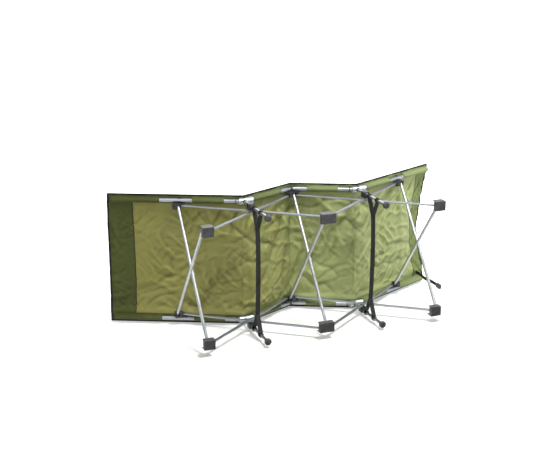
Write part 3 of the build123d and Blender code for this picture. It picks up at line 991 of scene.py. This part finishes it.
def ring_heights(node):
    """The two lower rings of a post, from the head's height."""
    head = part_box(node)[1].z + 0.0167
    return head - 0.150, head - 0.240


def strap_band(name, path, body):
    """Webbing along a path, its width along X, riding on its post with a mesh of its own."""
    piece = sweep(name, path, (1, 0, 0), oval(0.0125, half_web, 12, 0.3), webbing)
    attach(piece, body)
    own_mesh(piece)
    return piece


lie_apart = 0.0011  # the left half lies this far above the middle and the right half below it
for k in (1, 2):
    upper, lower = ring_heights(f"post_left_{k}")
    middle_z = (upper + lower) / 2
    for side, hand in ((1, "left"), (-1, "right")):
        body = f"post_{hand}_{k}"
        t = np.linspace(0, 1, 40)
        y = side * (join_y - t * (join_y + overlap_y))
        sag = band_sag * np.sin(np.pi * (join_y - side * y) / (2 * join_y))
        z = middle_z - sag + side * lie_apart
        band_path = np.stack([np.full_like(y, bay[k]), y, z], 1)
        band_piece = strap_band(f"strap_band_{hand}_{k}", band_path, body)
        for end, height in (("upper", upper), ("lower", lower)):
            t = np.linspace(0, 1, 26)
            y = side * (join_y - 0.012 + t * (rail_y - post_r - join_y + 0.012))
            z = middle_z + (height - middle_z) * (t ** 1.08) + side * lie_apart
            leg = np.stack([np.full_like(y, bay[k]), y, z], 1)
            strap_band(f"strap_leg_{end}_{hand}_{k}", leg, body)
            turn = np.linspace(-2.7, 2.7, 30)
            radius = post_r + 0.0016
            loop = np.stack([bay[k] + radius * np.sin(turn), side * (rail_y + radius * np.cos(turn)),
                             np.full_like(turn, height)], 1)
            piece = sweep(f"strap_loop_{end}_{hand}_{k}", loop, (0, 0, 1), oval(0.009, half_web, 10, 0.3),
                          webbing)
            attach(piece, body)
    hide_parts(f"spreader_strap_{k}")
print("spreader straps threaded")

# %% [markdown]
# ## The storage strap
# A loose strap hangs from a corner of the bed and ties the folded cot. Its line is
# a smooth NURBS curve led by a few control points. The band follows points read
# from that curve, and the buckle hangs on its end.

# %% A limp strap on a smooth curve
strap_low, strap_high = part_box("storage_strap")
buckle_low, buckle_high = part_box("buckle")
strap_y = (strap_low.y + strap_high.y) / 2
steps = [(0, 0), (0.004, -0.058), (-0.010, -0.118), (0.006, -0.180), (0.002, -0.236)]
top_x = (buckle_low.x + buckle_high.x) / 2 - steps[-1][0]
top_z = strap_high.z
curve = bpy.data.curves.new("strap_route", "CURVE")
curve.dimensions = "3D"
curve.resolution_u = 24
spline = curve.splines.new("NURBS")
spline.points.add(len(steps) - 1)
for point, (x, z) in zip(spline.points, steps):
    point.co = (top_x + x, strap_y, top_z + z, 1)
spline.order_u = 3
spline.use_endpoint_u = True
route = bpy.data.objects.new("strap_route", curve)
bpy.context.scene.collection.objects.link(route)
bpy.context.view_layer.update()
depsgraph = bpy.context.evaluated_depsgraph_get()
read = bpy.data.meshes.new_from_object(route.evaluated_get(depsgraph))
route_points = np.array([v.co for v in read.vertices], float)
bpy.data.objects.remove(route)
bpy.data.meshes.remove(read)
strap_length = float(np.linalg.norm(np.diff(route_points, axis=0), axis=1).sum())
strap = sweep("storage_webbing", route_points, (0, 1, 0), oval(0.010, 0.0008, 12, 0.3), webbing)
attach(strap, "storage_strap")
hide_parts("storage_strap")
print("storage strap", round(strap_length, 3), "m")

# %% [markdown]
# ## Cut sizes
# Each stretch of cloth was cut to a size that holds its tuck and its lap, and the
# strips, sleeves, tapes and stitches are sewn to it. The loop below finds the first
# and last column of each stretch and does nothing more with them.

# %% Cut sizes
for number in (1, 2, 3, 4):
    first = band[1] if number == 1 else cuts[number - 1]
    last = band[4] if number == 4 else cuts[number]

# %% [markdown]
# ## Floors
# The cot lies on its left side on a pale floor, so that floor stands upright in
# the cot's own directions. A second floor lies under the feet for the other
# views. Each is seen only from its front, so neither hides the cot.

# %% Floors


def floor(name, place, size, facing):
    """A square of floor that is clear from behind and glows brighter far from the cot, as a lit
    backdrop does: glow = a ramp of the distance from the middle."""
    finish = Finish(name, Roughness=0.75, Emission_Strength=1.0)
    shade = finish.noise(0.8, 2.0)
    finish.feed("Base Color", finish.ramp(shade, (0.3, (0.76, 0.76, 0.76)), (0.7, (0.78, 0.78, 0.775))))
    distance = finish.add("VectorMath", {"operation": "LENGTH"}, {0: finish.place()}, out="Value")
    finish.feed("Emission Color", finish.ramp(distance / 4.0, (0.20, (0.22,) * 3), (0.60, (0.9,) * 3)))
    back = finish.add("NewGeometry", out="Backfacing")
    clear = finish.add("BsdfTransparent")
    mixed = finish.add("MixShader", None, {"Fac": back})
    mix = mixed.socket.node
    finish.tree.links.new(finish.shader.outputs[0], mix.inputs[1])
    finish.tree.links.new(clear.socket, mix.inputs[2])
    finish.tree.links.new(mixed.socket, finish.tree.nodes["Material Output"].inputs["Surface"])
    square = np.array([(-1, -1, 0), (1, -1, 0), (1, 1, 0), (-1, 1, 0)], float) * size
    if facing == "-Y":
        square = square[:, [0, 2, 1]]
    corners = square + np.array(place)
    piece = add_mesh(name, corners, [[0, 1, 2, 3]], corners[:, :2], finish.material)
    piece.visible_shadow = False


floor("side_floor", (0, edge_y + 0.0065, 0), 40.0, "-Y")
floor("ground", (0, 0, -0.0005), 40.0, "+Z")
print("floors laid")

# %% [markdown]
# ## Lights
# The main light stands above the lying cot, on its right side, and gives the folds
# their shading. A weak one lifts the shadows from in front, and a broad one shines
# on the bed's other face.

# %% Lights


def area_light(name, place, aim, size, power):
    """A square soft light at a place, turned to face a point."""
    data = bpy.data.lights.new(name, "AREA")
    data.shape, data.size, data.energy = "SQUARE", size, power
    lamp = bpy.data.objects.new(name, data)
    bpy.context.scene.collection.objects.link(lamp)
    back = np.array(place, float) - np.array(aim, float)
    back /= np.linalg.norm(back)
    side_way = np.cross((0.1, 0.2, 1.0), back)
    side_way /= np.linalg.norm(side_way)
    pose = np.eye(4)
    pose[:3, 0], pose[:3, 1], pose[:3, 2] = side_way, np.cross(back, side_way), back
    pose[:3, 3] = place
    lamp.matrix_world = Matrix(pose.tolist())


area_light("key", (0.45, -3.1, -1.0), (0, 0.1, 0.4), 0.8, 150)
area_light("front", (-3.4, -1.2, -3.6), (0, 0, 0.3), 2.0, 14)
area_light("over", (1.0, -1.2, 3.6), (0, 0, 0.4), 3.0, 80)
world = bpy.data.worlds.new("studio")
bpy.context.scene.world = world
world.use_nodes = True
world.node_tree.nodes["Background"].inputs["Color"].default_value = (1, 1, 1, 1)
world.node_tree.nodes["Background"].inputs["Strength"].default_value = 0.16
bpy.context.scene.view_settings.view_transform = "Standard"
print("lights on")

# %% [markdown]
# ## Size
# The soft pieces may stand a little outside the hard frame's box, but no more than
# cloth does.

# %% Finish
print("scene built")
